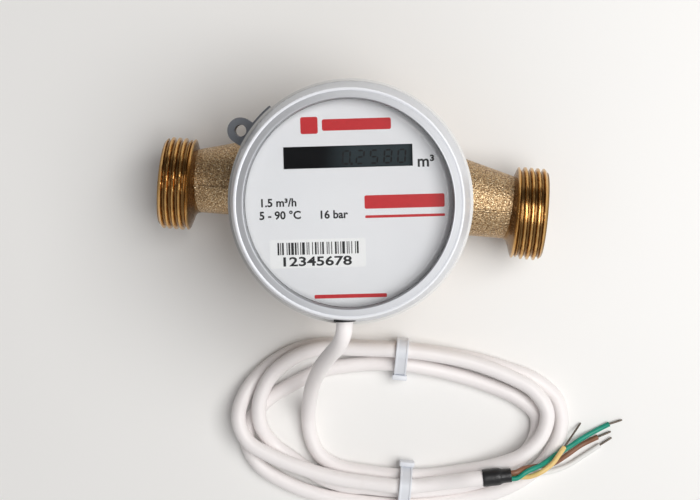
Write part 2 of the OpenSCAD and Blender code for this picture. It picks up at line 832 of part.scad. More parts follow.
// Frame that holds the display over the circuit board
module display_frame() {
    height = dial_space - 2 * fit_gap;
    color([0.8, 0.8, 0.8])
        on_register()
            difference() {
                frame_space(board_top + fit_gap, height, 0);
                block(0, window_y, board_top - over, display_w + 2 * fit_gap,
                    display_h + 2 * fit_gap, height + 2 * over);
            }
}

// Elastic contact strips between display and circuit board
module contact_strips() {
    strip = 1.6;
    color([0.35, 0.35, 0.38])
        on_register()
            for (s = [-1, 1])
                block(0, window_y + s * (display_h / 2 - strip), board_top + fit_gap,
                    window_w, strip, display_z - board_top - 2 * fit_gap);
}

// Round circuit board on the ledge of the base
module circuit_board() {
    color([0.1, 0.4, 0.2])
        on_register()
            translate([0, 0, board_z])
                difference() {
                    cylinder(h = board_t, r = recess_r - 0.15);
                    for (a = post_angles)
                        rotate([0, 0, a])
                            translate([board_screw_r, 0, -over])
                                cylinder(h = board_t + 2 * over, d = board_screw_d + 0.4);
                }
}

// Controller on the circuit board
module controller_chip() {
    color([0.1, 0.1, 0.1])
        on_register()
            block(-8, -6, board_top + fit_gap, 10, 10, 1.5);
}

// Lithium cell under the circuit board
module battery() {
    color([0.8, 0.8, 0.82])
        on_register()
            translate([0, battery_y, battery_z])
                cylinder(h = battery_t, d = battery_d);
}

// Spring strip that holds the cell against the circuit board
module battery_clip() {
    reach = battery_d + 2 * fit_gap + 2 * clip_t;
    height = battery_t + 2 * fit_gap + clip_t;
    color([0.85, 0.8, 0.6])
        on_register()
            difference() {
                block(0, battery_y, board_z - fit_gap - height, clip_w, reach, height);
                translate([0, battery_y, battery_z - fit_gap])
                    cylinder(h = battery_t + over, d = battery_d + 2 * fit_gap);
            }
}

// Upright sensor board between the circuit board and the base floor
module sensor_board() {
    color([0.1, 0.4, 0.2])
        on_register()
            block(0, sensor_y, base_top + loose_gap, sensor_board_w, sensor_board_t,
                base_depth - loose_gap - fit_gap);
}

// Two magnetic sensors over the rotor magnet
module hall_sensors() {
    color([0.12, 0.12, 0.12])
        on_register()
            for (s = [-1, 1])
                block(s * sensor_pitch / 2, sensor_y + sensor_board_t / 2 + fit_gap + sensor_t / 2,
                    base_top + loose_gap, sensor_w, sensor_t, sensor_h);
}

// Connector on the circuit board that takes the cable
module cable_connector() {
    color([0.9, 0.9, 0.86])
        on_register()
            rotate([0, 0, slot_angle])
                translate([cable_in_r - 0.1 - connector_len, -connector_w / 2, board_top + fit_gap])
                    cube([connector_len, connector_w, slot_w]);
}

// Pan-head screws of the circuit board
module board_screws() {
    color([0.7, 0.7, 0.72])
        on_register()
            for (a = post_angles)
                rotate([0, 0, a])
                    translate([board_screw_r, 0, 0]) {
                        translate([0, 0, board_z - board_screw_len])
                            cylinder(h = board_screw_len + board_t + over, d = board_screw_d);
                        translate([0, 0, board_top + fit_gap])
                            cylinder(h = 1.5, r = board_screw_d / 2 + 1.1);
                    }
}

// Bush round the cable in the slot of the cover
module cable_grommet() {
    inner = carrier_r + 0.2;
    outer = cover_edge_r + 0.2;
    color([0.8, 0.79, 0.78])
        on_register()
            rotate([0, 0, slot_angle])
                translate([inner, 0, cable_z])
                    rotate([0, 90, 0])
                        difference() {
                            cylinder(h = outer - inner, d = slot_w - 2 * fit_gap);
                            translate([0, 0, -over])
                                cylinder(h = outer - inner + 2 * over, d = cable_d + 2 * fit_gap);
                        }
}

// Signal cable from the connector down to the floor
module signal_cable_drop() {
    color([0.93, 0.9, 0.88])
        tube(cable_route, 0, drop_end, cable_d);
}

// Loose turns of the signal cable on the floor
module signal_cable_loops() {
    color([0.93, 0.9, 0.88])
        tube(cable_route, drop_end, len(cable_route) - 1, cable_d);
}

// Band round a bundle of strands, with its lock at one side of a strand
module tie(strands, x, lock, side) {
    band_r = cable_d / 2 + tie_gap + tie_t;
    lock_w = tie_w + 1;
    lock_h = 4;
    lock_t = 2.4;
    lock_sink = 0.3;
    color([0.95, 0.95, 0.97])
        translate([x - tie_w / 2, 0, 0]) {
            rotate([90, 0, 90])
                linear_extrude(height = tie_w)
                    difference() {
                        hull()
                            for (s = strands)
                                translate(s)
                                    circle(r = band_r, $fn = 32);
                        hull()
                            for (s = strands)
                                translate(s)
                                    circle(r = cable_d / 2 + tie_gap, $fn = 32);
                    }
            translate([(tie_w - lock_w) / 2, lock[0] - lock_t / 2 + side * (band_r - lock_sink + lock_t / 2),
                lock[1] - lock_h / 2])
                cube([lock_w, lock_t, lock_h]);
        }
}

module upper_tie() {
    tie(upper_strands, upper_tie_x, upper_strands[2], -1);
}

module lower_tie() {
    tie(lower_strands, lower_tie_x, lower_strands[0], 1);
}

// Stepped shrink sleeve on the end of the cable
module end_sleeve() {
    middle = sleeve_from + sleeve_step * (sleeve_to - sleeve_from);
    color([0.06, 0.06, 0.06]) {
        bar(sleeve_from, middle, sleeve_d);
        bar(middle, sleeve_to, sleeve_tip_d);
    }
}

// One lead along its route
module lead(route) {
    tube(route, 0, len(route) - 1, wire_d);
}

module wire_brown() {
    color([0.55, 0.38, 0.28])
        lead(brown_route);
}

module wire_green() {
    color([0, 0.6, 0.5])
        lead(green_route);
}

module wire_yellow() {
    color([0.93, 0.78, 0.45])
        lead(yellow_route);
}

module wire_white() {
    color([0.95, 0.94, 0.93])
        lead(white_route);
}

// Bare ends of the four leads
module wire_cores() {
    routes = [brown_route, green_route, yellow_route, white_route];
    color([0.35, 0.3, 0.28])
        for (i = [0 : len(routes) - 1])
            let (from = routes[i][len(routes[i]) - 1], way = unit(core_ends[i] - from))
                bar(from + 2 * fit_gap * way, core_ends[i], core_d);
}

meter_body();
inlet_strainer();
lower_pivot();
pressure_plate();
plate_seal();
upper_bearing();
clamp_ring();
shield_ring();
impeller();
impeller_shaft();
jewel_bearing();
rotor_magnet();
register_base();
register_cover();
cover_lens();
lens_gasket();
dial_plate();
dial_carrier();
display_module();
display_frame();
contact_strips();
circuit_board();
controller_chip();
battery();
battery_clip();
sensor_board();
hall_sensors();
cable_connector();
board_screws();
cable_grommet();
signal_cable_drop();
signal_cable_loops();
upper_tie();
lower_tie();
end_sleeve();
wire_brown();
wire_green();
wire_yellow();
wire_white();
wire_cores();
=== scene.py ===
import math

import bmesh
import bpy
from mathutils import Matrix, Vector


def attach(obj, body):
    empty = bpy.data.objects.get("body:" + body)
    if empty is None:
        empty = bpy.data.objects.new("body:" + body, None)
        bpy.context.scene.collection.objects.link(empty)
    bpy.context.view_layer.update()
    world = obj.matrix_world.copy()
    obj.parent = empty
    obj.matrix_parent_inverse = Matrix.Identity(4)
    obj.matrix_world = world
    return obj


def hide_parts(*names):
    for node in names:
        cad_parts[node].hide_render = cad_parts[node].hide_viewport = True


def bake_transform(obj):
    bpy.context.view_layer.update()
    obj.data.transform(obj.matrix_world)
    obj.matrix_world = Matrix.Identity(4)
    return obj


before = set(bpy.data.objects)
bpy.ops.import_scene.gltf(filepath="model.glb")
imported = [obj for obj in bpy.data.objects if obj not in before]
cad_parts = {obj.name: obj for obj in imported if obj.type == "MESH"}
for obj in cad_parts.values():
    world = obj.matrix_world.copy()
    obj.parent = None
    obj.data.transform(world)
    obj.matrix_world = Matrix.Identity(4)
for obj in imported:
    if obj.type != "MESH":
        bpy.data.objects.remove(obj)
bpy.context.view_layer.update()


# The meter body is one sand casting in brass: a cup under the register and a neck to each pipe end.
# The sand leaves a coarse, glinting skin, with pale glints painted into its colour, and a fine seam along
# the top of the necks.

mm = 0.001
axis_z = 17 * mm
turned_from = 46.3 * mm
weld_within = 0.001 * mm
cut_within = 0.0001 * mm
seam_inner, seam_outer = 0.10 * mm, 0.45 * mm
neck_inner, neck_outer = 27 * mm, 29 * mm


class Value:
    """A number on its way through a finish. Arithmetic on it adds Math nodes."""

    def __init__(self, finish, socket):
        self.finish = finish
        self.socket = socket

    def math(self, operation, first, second=0.0):
        """Adds one Math node."""
        return self.finish.node("ShaderNodeMath", {"operation": operation}, {0: first, 1: second})

    def __add__(self, other):
        return self.math("ADD", self, other)

    def __sub__(self, other):
        return self.math("SUBTRACT", self, other)

    def __rsub__(self, other):
        return self.math("SUBTRACT", other, self)

    def __mul__(self, other):
        return self.math("MULTIPLY", self, other)

    def __pow__(self, other):
        return self.math("POWER", self, other)

    def __abs__(self):
        return self.math("ABSOLUTE", self)

    __radd__ = __add__
    __rmul__ = __mul__


class Finish:
    """The nodes of one material, or of the room around the object."""

    def __init__(self, owner):
        owner.use_nodes = True
        self.owner = owner
        self.tree = owner.node_tree
        self.tree.nodes.clear()

    def node(self, kind, settings=None, sockets=None, out=0):
        """Adds one node: its settings are made first, then its sockets are filled or linked."""
        made = self.tree.nodes.new(kind)
        for key, setting in (settings or {}).items():
            setattr(made, key, setting)
        for key, given in (sockets or {}).items():
            if isinstance(given, Value):
                self.tree.links.new(given.socket, made.inputs[key])
            else:
                made.inputs[key].default_value = given
        return Value(self, made.outputs[out]) if made.outputs else None

    def axis(self, name, space="Object"):
        """How far along X, Y or Z a point of the surface lies, in metres, or a ray into the room points."""
        place = self.node("ShaderNodeTexCoord", out=space)
        return self.node("ShaderNodeSeparateXYZ", {}, {0: place}, out=name)

    def grain(self, per_metre, detail=2.0, stretch=(1, 1, 1)):
        """Cloudy grain from 0 to 1, so many lumps to the metre."""
        place = self.node("ShaderNodeTexCoord", out="Object")
        place = self.node("ShaderNodeMapping", {}, {"Vector": place, "Scale": stretch})
        return self.node("ShaderNodeTexNoise", {}, {"Vector": place, "Scale": per_metre, "Detail": detail})

    def step(self, value, low, high):
        """A soft step from 0 at low to 1 at high."""
        smooth = {"interpolation_type": "SMOOTHSTEP"}
        return self.node("ShaderNodeMapRange", smooth, {0: value, 1: low, 2: high})

    def blend(self, share, first, second):
        """The first colour where share is 0, and the second where it is 1."""
        return self.node("ShaderNodeMix", {"data_type": "RGBA"}, {0: share, 6: first, 7: second}, out=2)

    def close(self, sockets, relief=None, depth=0.0):
        """Ends the nodes in one surface, with a relief so many metres deep."""
        if relief is not None:
            sockets = dict(sockets)
            sockets["Normal"] = self.node("ShaderNodeBump", {}, {"Distance": depth, "Height": relief})
        surface = self.node("ShaderNodeBsdfPrincipled", {}, sockets)
        self.node("ShaderNodeOutputMaterial", {}, {"Surface": surface})
        return self.owner


def tone(red, green, blue):
    """A colour as the screen shows it, 0 to 255, turned into the light that a shader works in."""
    parts = [part / 255 for part in (red, green, blue)]
    return tuple(p / 12.92 if p < 0.04045 else ((p + 0.055) / 1.055) ** 2.4 for p in parts) + (1.0,)


def fit(name, bm, finishes, body, instead=(), crease=35):
    """Makes a piece of a mesh, smooth but for its creases, and fixes it to a body if one is named."""
    bmesh.ops.recalc_face_normals(bm, faces=bm.faces)
    mesh = bpy.data.meshes.new(name)
    bm.to_mesh(mesh)
    bm.free()
    if "custom_normal" in mesh.attributes:
        mesh.attributes.remove(mesh.attributes["custom_normal"])
    mesh.polygons.foreach_set("use_smooth", [True] * len(mesh.polygons))
    mesh.set_sharp_from_angle(angle=math.radians(crease))
    for finish in finishes:
        mesh.materials.append(finish)
    piece = bpy.data.objects.new(name, mesh)
    bpy.context.scene.collection.objects.link(piece)
    if body:
        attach(piece, body)
    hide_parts(*instead)
    return piece


def copy_of(node):
    """A welded mesh of a node of the solid model, to cut and to build on."""
    bm = bmesh.new()
    bm.from_mesh(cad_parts[node].data)
    bmesh.ops.remove_doubles(bm, verts=bm.verts, dist=weld_within)
    return bm


def cut_off(bm, place, outward):
    """Cuts away what lies beyond a plane, and gives back the edges along the cut."""
    everything = bm.verts[:] + bm.edges[:] + bm.faces[:]
    cut = bmesh.ops.bisect_plane(
        bm, geom=everything, dist=cut_within, plane_co=place, plane_no=outward, clear_outer=True
    )
    return [part for part in cut["geom_cut"] if isinstance(part, bmesh.types.BMEdge)]


cast = Finish(bpy.data.materials.new("sand_cast_brass"))
sand = cast.grain(2100, detail=3)
lumps = cast.grain(560, detail=3)
painted_glint = cast.step(cast.grain(2900, detail=1), 0.56, 0.66)
on_necks = cast.step(abs(cast.axis("X")), neck_inner, neck_outer)
seam = (1 - cast.step(abs(cast.axis("Y")), seam_inner, seam_outer)) * on_necks
skin_tone = cast.blend(cast.step(sand, 0.3, 0.7), tone(128, 98, 66), tone(212, 178, 134))
# Painted highlight: pale specks of painted glint lighten the colour of the sand skin.
skin_tone = cast.blend(painted_glint, skin_tone, tone(244, 222, 184))
cast_brass = cast.close(
    {
        "Base Color": skin_tone,
        "Metallic": 1 - lumps * 0.16,
        "Roughness": 0.36 - painted_glint * 0.18 + sand * 0.08,
    },
    relief=sand * 1.2 + lumps * 0.6 + seam * 0.8,
    depth=0.26 * mm,
)

casting = copy_of("meter_body")
for side in (-1, 1):
    neck_rim = cut_off(casting, (side * turned_from, 0, 0), (side, 0, 0))
    bmesh.ops.bridge_loops(casting, edges=neck_rim)
fit("brass_casting", casting, [cast_brass], "body", ["meter_body"], crease=32)


# The pipe ends are turned from the same casting on a lathe: a sharp collar with a hollow back, a groove,
# a right-hand pipe thread, 14 to the inch, a flat sealing face, and a bore. Sizes here are in millimetres.

end_x = 55.0
groove_x = 47.3
first_crest = 48.4
run_out = 0.7
thread_pitch = 1.814
thread_crest = 13.22
thread_root = 12.2
thread_lead = 1.1
thread_swing = 0.72
thread_sides = 160
thread_rows = 90
bore_radius = 8.5
groove_fade = 0.75
bore_inner, bore_outer = bore_radius - 0.1, bore_radius + 0.2
collar_end, groove_start = 46.9, 47.2
collar_profile = [
    (43.2, 7.7), (44.0, 7.9), (44.6, 8.3), (45.0, 8.95), (45.35, 9.9),
    (45.7, 11.0), (46.1, 12.15), (46.4, 12.9), (46.6, 13.1), (46.78, 13.02),
]
bore_profile = [
    (end_x, 8.85), (54.65, bore_radius), (48.05, bore_radius), (48.05, 7.4),
    (46.3, 7.4), (45.0, 7.5), (43.2, 7.5),
]


def skin(bm, rings, loop=False):
    """Joins rings of as many points each with four-sided faces, and gives back their vertices."""
    rows = [[bm.verts.new(point) for point in ring] for ring in rings]
    for first, second in zip(rows, rows[1:] + rows[:1] if loop else rows[1:]):
        for k in range(len(first)):
            bm.faces.new((first[k - 1], first[k], second[k], second[k - 1]))
    return rows


turning = Finish(bpy.data.materials.new("turned_brass"))
off_axis = turning.axis("Z") - axis_z
from_axis = (turning.axis("Y") ** 2 + off_axis ** 2) ** 0.5
# Painted shade: the thread's grooves are darkened to a deep brown in the colour, except inside the bore.
groove_shade = 1 - turning.step(from_axis, thread_root * mm, (thread_root + groove_fade) * mm)
past_collar = turning.step(abs(turning.axis("X")), collar_end * mm, groove_start * mm)
in_bore = (1 - turning.step(from_axis, bore_inner * mm, bore_outer * mm)) * past_collar
smear = turning.grain(300, detail=3, stretch=(5, 1, 1))
tool_marks = turning.grain(2400, stretch=(1.6, 0.12, 0.12))
golden = turning.blend(smear, tone(204, 154, 90), tone(236, 194, 126))
turned_brass = turning.close(
    {
        "Base Color": turning.blend(groove_shade * (1 - in_bore) * 0.7, golden, tone(74, 44, 22)),
        "Metallic": 0.98,
        "Roughness": smear * 0.14 + groove_shade * 0.06 + 0.13,
    },
    relief=tool_marks,
    depth=0.03 * mm,
)

angles = [math.tau * k / thread_sides for k in range(thread_sides)]
for name, way in (("inlet_end", -1), ("outlet_end", 1)):
    rings = [[point] * thread_sides for point in collar_profile]
    for row in range(thread_rows + 1):
        x = groove_x + (end_x - groove_x) * row / thread_rows
        height = (thread_crest - thread_root) * min(1, (x - groove_x) / run_out)
        limit = thread_crest - max(0, x - end_x + thread_lead)
        ring = []
        for angle in angles:
            tooth = 0.5 + thread_swing * math.cos(math.tau * (x - first_crest) / thread_pitch - angle)
            ring.append((x, min(limit, thread_root + height * min(1, max(0, tooth)))))
        rings.append(ring)
    rings += [[point] * thread_sides for point in bore_profile]
    threaded = bmesh.new()
    skin(
        threaded,
        [
            [Vector((way * x, way * r * math.cos(a), r * math.sin(a))) * mm + Vector((0, 0, axis_z))
             for (x, r), a in zip(ring, angles)]
            for ring in rings
        ],
        loop=True,
    )
    fit(name, threaded, [turned_brass], "body", ["meter_body"], crease=40)


# The works in the cup: the strainer in the inlet's seat, the impeller on its jewel and pivot with the
# magnet on top, and the pressure plate that a turned ring clamps on its seal under a steel shield ring.


def dress(node, material):
    """Gives a node of the solid model its finish."""
    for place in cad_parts[node].material_slots:
        place.material = material


def moulded(name, deep, pale, rough, metal=0.0, per_metre=900, depth=0.02 * mm):
    """A finish with a cloudy tone and a fine grain, for a small moulded or stamped part."""
    finish = Finish(bpy.data.materials.new(name))
    cloud = finish.grain(per_metre * 0.3, detail=3)
    fine = finish.grain(per_metre * 4)
    swing = 0.16
    return finish.close(
        {
            "Base Color": finish.blend(cloud, deep, pale),
            "Metallic": metal,
            "Roughness": fine * swing + (rough - swing / 2),
        },
        relief=fine,
        depth=depth,
    )


sheet_steel = moulded("sheet_steel", tone(150, 152, 156), tone(190, 192, 196), rough=0.32, metal=1.0)
nylon = moulded("natural_nylon", tone(206, 202, 190), tone(228, 225, 214), rough=0.5)
dark_nylon = moulded("dark_nylon", tone(36, 37, 40), tone(52, 53, 56), rough=0.48)
black_seal = moulded("black_seal", tone(20, 20, 21), tone(34, 34, 35), rough=0.62)
for node, material in (
    ("inlet_strainer", nylon),
    ("lower_pivot", sheet_steel),
    ("impeller", moulded("blue_impeller", tone(34, 84, 150), tone(56, 110, 176), rough=0.4)),
    ("impeller_shaft", sheet_steel),
    ("jewel_bearing", moulded("sapphire_jewel", tone(150, 24, 40), tone(190, 44, 62), rough=0.12)),
    ("rotor_magnet", moulded("sintered_magnet", tone(52, 52, 56), tone(78, 78, 82), rough=0.5, metal=0.6)),
    ("upper_bearing", moulded("bearing_bush", tone(196, 190, 170), tone(216, 211, 194), rough=0.45)),
    ("pressure_plate", dark_nylon),
    ("plate_seal", black_seal),
    ("clamp_ring", turned_brass),
    ("shield_ring", sheet_steel),
):
    dress(node, material)


# The register's base is moulded in grey plastic with a satin spark-eroded skin. Its skirt turns on the
# body's collar, and a small ear stands out at one side for the seal wire.

flange_top = 49.45 * mm
flange_radius = 32.85 * mm
lip_depth = 0.4 * mm
lip_fade = 0.3 * mm

base_skin = Finish(bpy.data.materials.new("grey_base"))
base_fine = base_skin.grain(4200)
base_cloud = base_skin.grain(110, detail=3)
scuffs = base_skin.step(base_skin.grain(700, detail=4, stretch=(1, 1, 0.25)), 0.62, 0.74)
base_radius = (base_skin.axis("X") ** 2 + base_skin.axis("Y") ** 2) ** 0.5
base_edge = base_skin.step(base_skin.axis("Z"), flange_top - lip_depth, flange_top)
# Painted highlight: a pale line along the flange's top outer edge, where the edge catches the light.
lip_highlight = base_edge * (1 - base_skin.step(base_radius, flange_radius, flange_radius + lip_fade))
base_tone = base_skin.blend(base_cloud, tone(92, 96, 102), tone(108, 111, 117))
base_tone = base_skin.blend(scuffs * 0.12, base_tone, tone(150, 153, 157))
base_tone = base_skin.blend(lip_highlight * 0.75, base_tone, tone(236, 234, 230))
base_sockets = {"Base Color": base_tone, "Metallic": 0.12, "Roughness": base_fine * 0.14 + 0.36}
dress("register_base", base_skin.close(base_sockets, relief=base_fine, depth=0.025 * mm))


# The electronics lie in the base: a coin cell in its clip, the round board with its chip and screws, a
# small upright board with the two sensors over the magnet, and the connector of the cable. A nylon
# carrier and frame hold the face and the display over them, on rubber contact strips.

board_skin = moulded("green_board", tone(20, 78, 48), tone(34, 102, 62), rough=0.34)
for node, material in (
    ("battery", sheet_steel),
    ("battery_clip", sheet_steel),
    ("board_screws", sheet_steel),
    ("circuit_board", board_skin),
    ("sensor_board", board_skin),
    ("controller_chip", dark_nylon),
    ("hall_sensors", dark_nylon),
    ("cable_connector", nylon),
    ("contact_strips", moulded("zebra_rubber", tone(92, 94, 98), tone(128, 130, 134), rough=0.6)),
    ("display_frame", nylon),
    ("dial_carrier", nylon),
    ("lens_gasket", black_seal),
):
    dress(node, material)


# The display is a reflective liquid crystal panel under the face's window: dark glass, paler and greener
# at the right where the figures stand, which are a thin layer of ink-black segments.

register_turn = Matrix.Rotation(math.radians(6.5), 4, "Z")
display_top = 59.7 * mm
lit_from, lit_to = -9 * mm, 0.5 * mm
figure_low = display_top + 0.01 * mm
figure_high = display_top + 0.03 * mm
figure_height = 3.35 * mm
figure_width = 1.85 * mm
figure_pitch = 3.6 * mm
figure_right = 14.75 * mm
figure_foot = 10.2 * mm
figure_lean = 0.09
stroke = 0.42 * mm
stroke_tip = stroke * 0.5
flat_gap = stroke * 0.6
upright_gap = stroke * 0.2
point_half = 0.3 * mm
point_gap = 0.55 * mm
figures_shown = "02580"
segments_lit = {
    "0": "abcdef", "1": "bc", "2": "abged", "3": "abgcd", "4": "fgbc",
    "5": "afgcd", "6": "afgedc", "7": "abc", "8": "abcdefg", "9": "abcdfg",
}


def prism(bm, outline, low, high):
    """Raises a flat outline, given in the register's own frame, into a thin closed layer."""
    lower = [bm.verts.new(register_turn @ Vector((x, y, low))) for x, y in outline]
    upper = [bm.verts.new(register_turn @ Vector((x, y, high))) for x, y in outline]
    bm.faces.new(lower[::-1])
    bm.faces.new(upper)
    for k in range(len(outline)):
        bm.faces.new((lower[k - 1], lower[k], upper[k], upper[k - 1]))


panel = Finish(bpy.data.materials.new("display_glass"))
lit_part = panel.step(panel.axis("X"), lit_from, lit_to)
panel_cloud = panel.grain(160)
panel_tone = panel.blend(lit_part, tone(3, 4, 7), tone(50, 60, 64))
panel_tone = panel.blend(panel_cloud * 0.2, panel_tone, tone(22, 27, 30))
panel_sockets = {"Base Color": panel_tone, "Roughness": panel_cloud * 0.06 + 0.3, "Specular IOR Level": 0.1}
dress("display_module", panel.close(panel_sockets))

display_ink = moulded("display_ink", tone(2, 3, 4), tone(8, 10, 11), rough=0.8)


def segment(x, y, length, upright=False):
    """The six corners of one segment of a figure, from its left end or its foot."""
    near = upright_gap if upright else flat_gap
    far = length - near
    corners = [
        (near, 0), (near + stroke_tip, stroke_tip), (far - stroke_tip, stroke_tip),
        (far, 0), (far - stroke_tip, -stroke_tip), (near + stroke_tip, -stroke_tip),
    ]
    return [(x + across, y + along) if upright else (x + along, y + across) for along, across in corners]


half_height = figure_height / 2
segment_shapes = {
    "a": segment(0, figure_height, figure_width),
    "g": segment(0, half_height, figure_width),
    "d": segment(0, 0, figure_width),
    "f": segment(0, half_height, half_height, upright=True),
    "b": segment(figure_width, half_height, half_height, upright=True),
    "e": segment(0, 0, half_height, upright=True),
    "c": segment(figure_width, 0, half_height, upright=True),
}
last_place = len(figures_shown) - 1
figures = bmesh.new()
for place, figure in enumerate(figures_shown):
    left = figure_right - figure_width - figure_pitch * (last_place - place)
    for lit in segments_lit[figure]:
        outline = [(left + x + figure_lean * y, figure_foot + y) for x, y in segment_shapes[lit]]
        prism(figures, outline, figure_low, figure_high)
point_x = figure_right - figure_pitch * last_place + point_gap
point_corners = ((-1, -1), (1, -1), (1, 1), (-1, 1))
point = [(point_x + x * point_half, figure_foot + y * point_half) for x, y in point_corners]
prism(figures, point, figure_low, figure_high)
fit("display_figures", figures, [display_ink], "register")


# The face is a white moulded plate, printed in black and red: a unit beside the window, ratings below it,
# plain red fields, and a white sticker with bars and a row of figures.

face_top = 61.15 * mm
ink_low = face_top + 0.006 * mm
ink_high = face_top + 0.016 * mm
sticker_high = face_top + 0.022 * mm
on_sticker_high = face_top + 0.032 * mm
glyph_weld = 0.0003 * mm
bars_left, bars_right = -19.0, 2.4
bars_low, bars_high = -13.1, -9.9
bar_corner = 0.04
bar_widths = "2111231121312112113211131221121123111213211211321112131121"

face = Finish(bpy.data.materials.new("white_face"))
face_cloud = face.grain(60)
face_fine = face.grain(5200)
dress(
    "dial_plate",
    face.close(
        {
            "Base Color": face.blend(face_cloud, tone(232, 233, 236), tone(240, 240, 241)),
            "Roughness": face_fine * 0.12 + 0.40,
        },
        relief=face_fine,
        depth=0.008 * mm,
    ),
)


def field(x0, y0, x1, y1, corner):
    """The outline of a rectangle with rounded corners, in millimetres."""
    outline = []
    for cx, cy, start in ((x1, y1, 0), (x0, y1, 90), (x0, y0, 180), (x1, y0, 270)):
        inward_x = -corner if cx == x1 else corner
        inward_y = -corner if cy == y1 else corner
        for turn in (0, 30, 60, 90):
            angle = math.radians(start + turn)
            x = cx + inward_x + corner * math.cos(angle)
            y = cy + inward_y + corner * math.sin(angle)
            outline.append((x * mm, y * mm))
    return outline


def letter(bm, text, x, y, size, low, high, weight, stretch=1.0):
    """Sets figures or a unit as thin layers, from their lower left corner, in millimetres."""
    line = bpy.data.curves.new("line", "FONT")
    line.body = text
    line.size = size * mm
    line.extrude = (high - low) / 2
    line.offset = weight * mm
    line.resolution_u = 3
    holder = bpy.data.objects.new("line", line)
    bpy.context.scene.collection.objects.link(holder)
    shape = bpy.data.meshes.new_from_object(holder.evaluated_get(bpy.context.evaluated_depsgraph_get()))
    place = Matrix.Translation((x * mm, y * mm, (low + high) / 2))
    shape.transform(register_turn @ place @ Matrix.Diagonal((stretch, 1, 1, 1)))
    bm.from_mesh(shape)
    bmesh.ops.remove_doubles(bm, verts=bm.verts, dist=glyph_weld)
    bpy.data.objects.remove(holder)
    bpy.data.curves.remove(line)
    bpy.data.meshes.remove(shape)


ink_film = {"rough": 0.5, "per_metre": 2400, "depth": 0.006 * mm}
black_ink = moulded("black_ink", tone(8, 8, 10), tone(22, 22, 25), **ink_film)
red_ink = moulded("red_ink", tone(190, 14, 24), tone(208, 24, 34), **ink_film)

red_print = bmesh.new()
for x0, y0, x1, y1, corner in (
    (-12.1, 18.2, -7.6, 22.6, 0.5),
    (-6.5, 18.9, 11.4, 21.9, 0.5),
    (4.0, -1.6, 24.8, 1.9, 0.45),
    (4.1, -4.0, 24.8, -3.3, 0.2),
    (-9.7, -24.7, 9.2, -23.7, 0.25),
):
    prism(red_print, field(x0, y0, x1, y1, corner), ink_low, ink_high)
fit("red_print", red_print, [red_ink], "register")

black_print = bmesh.new()
for words, x, y, size, weight in (
    ("m³", 17.9, 9.0, 4.2, 0.09),
    ("1.5 m³/h", -23.4, -0.4, 2.9, 0.085),
    ("5 - 90 °C", -23.5, -3.7, 2.9, 0.085),
    ("16 bar", -8.0, -3.8, 2.9, 0.085),
):
    letter(black_print, words, x, y, size, ink_low, ink_high, weight)
fit("black_print", black_print, [black_ink], "register")

sticker = bmesh.new()
prism(sticker, field(-21.0, -16.6, 4.0, -9.1, 0.5), ink_low, sticker_high)
sticker_paper = moulded(
    "sticker_paper", tone(243, 243, 243), tone(249, 249, 248), rough=0.5, per_metre=2000, depth=0.01 * mm
)
fit("face_sticker", sticker, [sticker_paper], "register")

sticker_print = bmesh.new()
bar_unit = (bars_right - bars_left) / sum(int(width) for width in bar_widths)
bar_x = bars_left
for order, width in enumerate(bar_widths):
    next_x = bar_x + int(width) * bar_unit
    if order % 2 == 0:
        bar = field(bar_x, bars_low, next_x, bars_high, bar_corner)
        prism(sticker_print, bar, sticker_high, on_sticker_high)
    bar_x = next_x
letter(
    sticker_print, "12345678", -18.4, -16.0, 3.3, sticker_high, on_sticker_high, weight=0.08, stretch=1.42
)
fit("sticker_print", sticker_print, [black_ink], "register")


# A clear moulded cover lies over the face and is clamped at its edge. Light passes straight through it,
# and only its gloss shows, most at a flat angle.

lens = Finish(bpy.data.materials.new("clear_cover"))
smudge = lens.grain(45, detail=3)
see_through = lens.node("ShaderNodeBsdfTransparent", {}, {"Color": (0.985, 0.988, 0.99, 1)})
gloss = lens.node("ShaderNodeBsdfGlossy", {}, {"Color": (1, 1, 1, 1), "Roughness": 0.08})
edge_on = lens.node("ShaderNodeFresnel", {}, {"IOR": 1.36})
shine = edge_on * (smudge * 0.3 + 0.4)
covered = lens.node("ShaderNodeMixShader", {}, {0: shine, 1: see_through, 2: gloss})
lens.node("ShaderNodeOutputMaterial", {}, {"Surface": covered})
dress("cover_lens", lens.owner)


# The cover ring is moulded in silver-grey plastic and snaps over the base. A narrow ledge runs round its
# edge, and inside that a bevel rises to a narrow rim that stands round the clear cover.

ring_cut = 64.0 * mm
ring_middle = 28.5 * mm
ring_fade = 0.2 * mm
ring_sides = 192
ledge_inner, ledge_outer = 29.5 * mm, 29.7 * mm
ledge_foot, ledge_top = 65.1 * mm, 65.35 * mm
rim_inner, rim_outer = 27.08 * mm, 27.4 * mm
ring_profile = [
    (30.03, 64.75), (29.98, 65.1), (29.93, 65.32), (29.76, 65.48), (29.25, 65.53), (29.08, 65.46),
    (28.94, 65.58), (28.6, 66.02), (28.1, 66.6), (27.75, 66.95), (27.5, 67.13), (27.3, 67.2),
    (27.12, 67.13), (27.02, 66.9), (27.0, 65.3), (27.0, 64.2),
]

ring_skin = Finish(bpy.data.materials.new("silver_ring"))
ring_fine = ring_skin.grain(4800)
ring_cloud = ring_skin.grain(90, detail=3)
ring_radius = (ring_skin.axis("X") ** 2 + ring_skin.axis("Y") ** 2) ** 0.5
ring_height = ring_skin.axis("Z")
at_edge = ring_skin.step(ring_radius, ledge_inner, ledge_outer)
# Painted highlight: a pale line on the narrow ledge at the ring's outer edge.
ledge_highlight = at_edge * ring_skin.step(ring_height, ledge_foot, ledge_top)
above_cut = ring_skin.step(ring_height, ring_cut, ring_cut + ring_fade)
